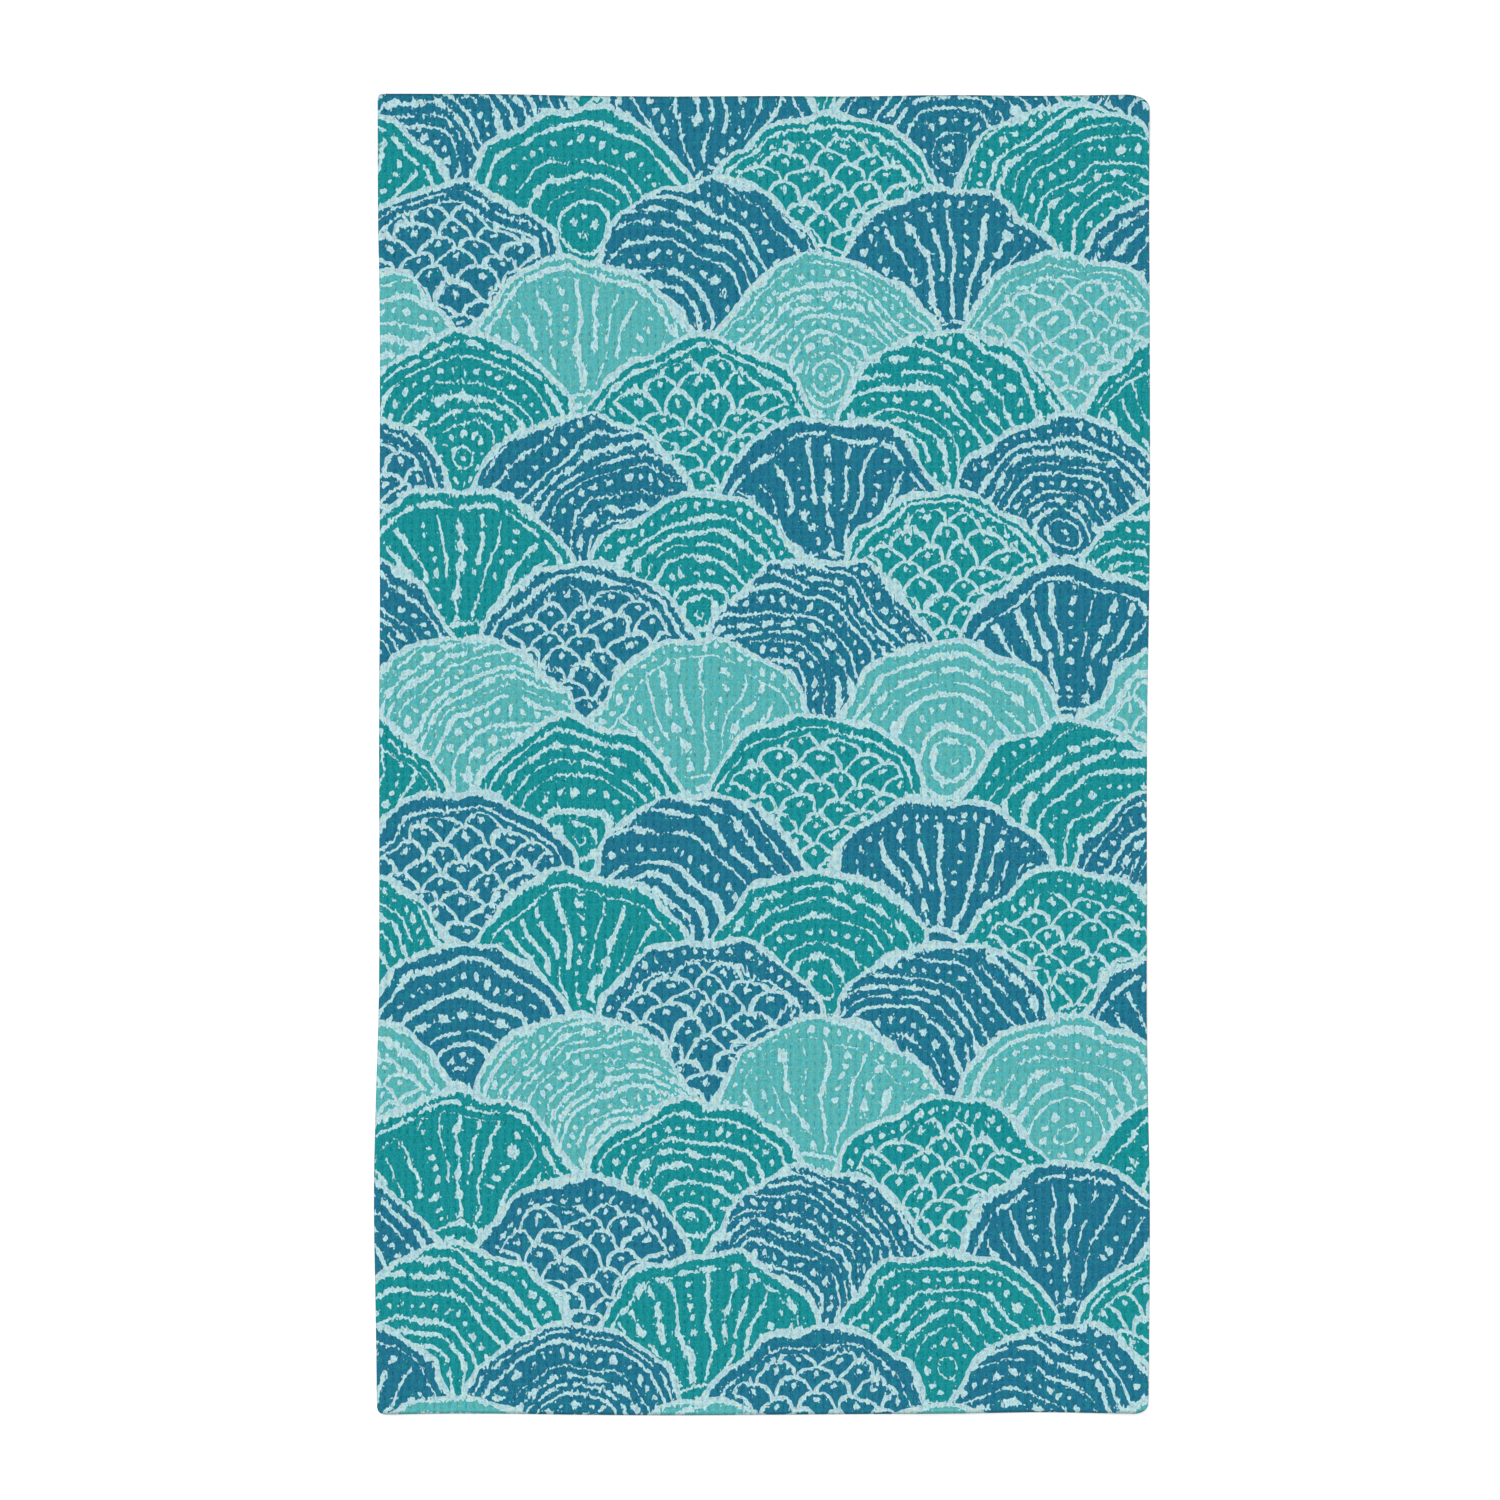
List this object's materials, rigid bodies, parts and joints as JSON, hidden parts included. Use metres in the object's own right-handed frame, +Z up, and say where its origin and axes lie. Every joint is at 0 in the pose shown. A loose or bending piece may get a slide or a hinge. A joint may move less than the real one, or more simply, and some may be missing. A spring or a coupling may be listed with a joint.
{
  "type": "tea towel",
  "caption": "Flat rectangular waffle-weave cotton tea towel with rounded corners, for drying dishes and hands or covering food.",
  "frame": {"origin": "middle of the towel's underside, on the surface it lies on", "axes": "+X across the towel, +Y along its length, +Z up through its printed face"},
  "size_m": [0.409, 0.6966, 0.0038],
  "materials": {
    "printed_waffle": "matt printed cotton in a waffle weave"
  },
  "bodies": {
    "root": {"tea_towel": "printed_waffle"}
  },
  "joints": []
}
